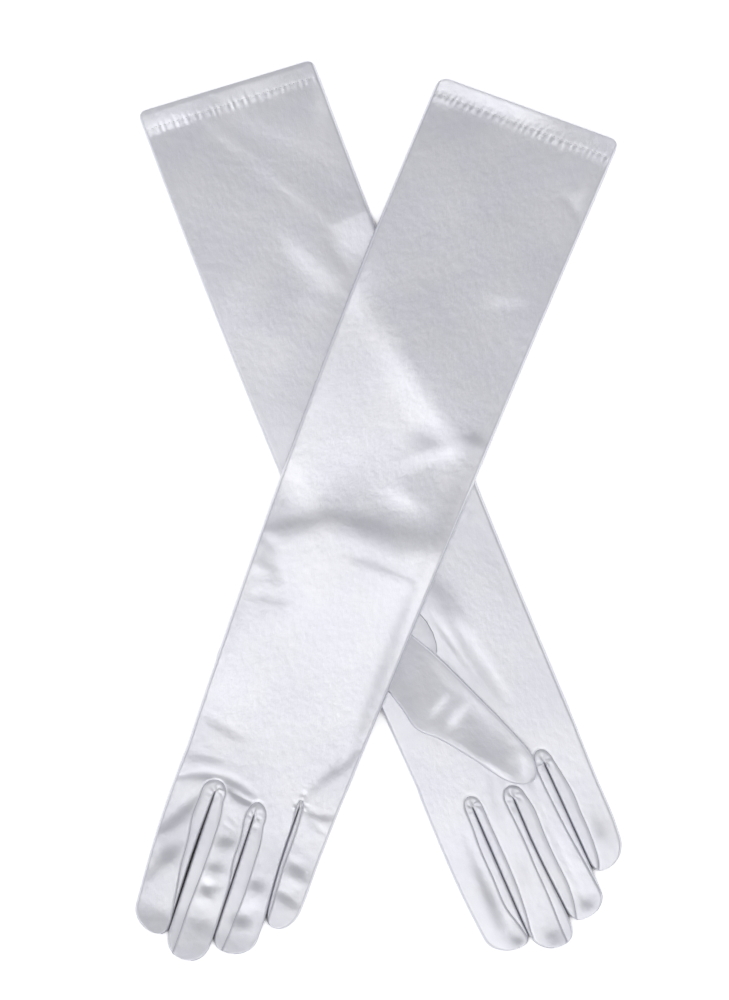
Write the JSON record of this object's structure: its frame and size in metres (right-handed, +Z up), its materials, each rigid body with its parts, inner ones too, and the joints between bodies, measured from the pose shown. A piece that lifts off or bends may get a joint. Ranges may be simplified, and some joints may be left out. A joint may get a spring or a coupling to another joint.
{
  "type": "opera gloves",
  "caption": "Pair of long white satin opera gloves lying flat and crossed, one palm up and one palm down, with turned elastic cuffs, fourchettes and folded thumbs",
  "frame": {"origin": "On the surface the gloves lie on, under the middle of the pair", "axes": "+Z up off the surface, -Y towards the fingertips, +X towards the right when seen from above with the fingers towards the viewer; the little fingers point to +X"},
  "size_m": [0.2916, 0.5404, 0.0138],
  "materials": {
    "satin": "smooth stretch satin with a soft silvery sheen",
    "satin_inside": "matte back of the satin",
    "fourchette": "smooth stretch satin cut across the sheen",
    "elastic": "matte knitted elastic",
    "thread": "fine polyester thread",
    "label": "plain white woven tape, blank"
  },
  "bodies": {
    "right_glove": {"right_forearm_sleeve": "satin", "right_hand": "satin", "right_thumb_base": "satin", "right_forearm_side_seam": "satin_inside", "right_hand_side_seam": "satin_inside"},
    "right_cuff": {"right_upper_sleeve": "satin", "right_cuff_hem": "satin_inside", "right_cuff_elastic": "elastic", "right_hem_stitching": "thread", "right_care_label": "label", "right_upper_side_seam": "satin_inside"},
    "right_thumb": {"right_thumb": "satin"},
    "left_glove": {"left_forearm_sleeve": "satin", "left_forearm_side_seam": "satin_inside"},
    "left_cuff": {"left_upper_sleeve": "satin", "left_cuff_hem": "satin_inside", "left_cuff_elastic": "elastic", "left_hem_stitching": "thread", "left_upper_side_seam": "satin_inside"},
    "left_hand": {"left_hand": "satin", "left_thumb_base": "satin", "left_hand_side_seam": "satin_inside"},
    "left_thumb": {"left_thumb": "satin"},
    "right_index": {"right_index_finger": "satin", "right_fourchette_index": "fourchette"},
    "right_middle": {"right_middle_finger": "satin", "right_fourchette_middle_index_side": "fourchette", "right_fourchette_middle_ring_side": "fourchette"},
    "right_ring": {"right_ring_finger": "satin", "right_fourchette_ring_middle_side": "fourchette", "right_fourchette_ring_little_side": "fourchette"},
    "right_little": {"right_little_finger": "satin", "right_fourchette_little": "fourchette"},
    "left_index": {"left_index_finger": "satin", "left_fourchette_index": "fourchette"},
    "left_middle": {"left_middle_finger": "satin", "left_fourchette_middle_index_side": "fourchette", "left_fourchette_middle_ring_side": "fourchette"},
    "left_ring": {"left_ring_finger": "satin", "left_fourchette_ring_middle_side": "fourchette", "left_fourchette_ring_little_side": "fourchette"},
    "left_little": {"left_little_finger": "satin", "left_fourchette_little": "fourchette"}
  },
  "joints": [
    {"name": "right_sleeve_fold", "type": "hinge", "parent": "right_glove", "child": "right_cuff", "pos_m": [-0.05847, 0.16242, 0.0064], "axis": [0.9331, 0.3597, 0], "range_deg": [0, 90]},
    {"name": "right_index_curl", "type": "hinge", "parent": "right_glove", "child": "right_index", "pos_m": [0.04371, -0.18375, 0.0055], "axis": [-0.9157, -0.4019, 0], "range_deg": [0, 85]},
    {"name": "right_middle_curl", "type": "hinge", "parent": "right_glove", "child": "right_middle", "pos_m": [0.07133, -0.18025, 0.0055], "axis": [-0.9166, -0.3998, 0], "range_deg": [0, 85]},
    {"name": "right_ring_curl", "type": "hinge", "parent": "right_glove", "child": "right_ring", "pos_m": [0.09462, -0.16988, 0.0055], "axis": [-0.9147, -0.4041, 0], "range_deg": [0, 85]},
    {"name": "right_little_curl", "type": "hinge", "parent": "right_glove", "child": "right_little", "pos_m": [0.11194, -0.14692, 0.0055], "axis": [-0.9193, -0.3936, 0], "range_deg": [0, 85]},
    {"name": "right_thumb_lift", "type": "hinge", "parent": "right_glove", "child": "right_thumb", "pos_m": [0.02014, -0.10196, 0.0115], "axis": [-0.6656, -0.7463, 0], "range_deg": [0, 90]},
    {"name": "left_glove_lift_off", "type": "slide", "parent": "right_glove", "child": "left_glove", "axis": [0, 0, 1], "range_m": [0, 0.12]},
    {"name": "left_sleeve_fold", "type": "hinge", "parent": "left_glove", "child": "left_cuff", "pos_m": [0.05719, 0.16332, 0.00906], "axis": [0.9223, -0.3864, 0], "range_deg": [0, 90]},
    {"name": "left_wrist_bend", "type": "hinge", "parent": "left_glove", "child": "left_hand", "pos_m": [-0.03395, -0.06517, 0.0138], "axis": [-0.935, 0.3545, 0], "range_deg": [0, 60]},
    {"name": "left_index_lift", "type": "hinge", "parent": "left_hand", "child": "left_index", "pos_m": [-0.1104, -0.16838, 0.0101], "axis": [-0.9498, 0.3128, 0], "range_deg": [0, 70]},
    {"name": "left_middle_lift", "type": "hinge", "parent": "left_hand", "child": "left_middle", "pos_m": [-0.08687, -0.18216, 0.0101], "axis": [-0.9422, 0.335, 0], "range_deg": [0, 70]},
    {"name": "left_ring_lift", "type": "hinge", "parent": "left_hand", "child": "left_ring", "pos_m": [-0.06306, -0.19071, 0.0101], "axis": [-0.9442, 0.3292, 0], "range_deg": [0, 70]},
    {"name": "left_little_lift", "type": "hinge", "parent": "left_hand", "child": "left_little", "pos_m": [-0.03621, -0.18344, 0.00775], "axis": [-0.9433, 0.3318, 0], "range_deg": [0, 70]},
    {"name": "left_thumb_swing", "type": "hinge", "parent": "left_hand", "child": "left_thumb", "pos_m": [-0.07403, -0.09506, 0.0042], "axis": [0, 0, -1], "range_deg": [0, 50]}
  ]
}
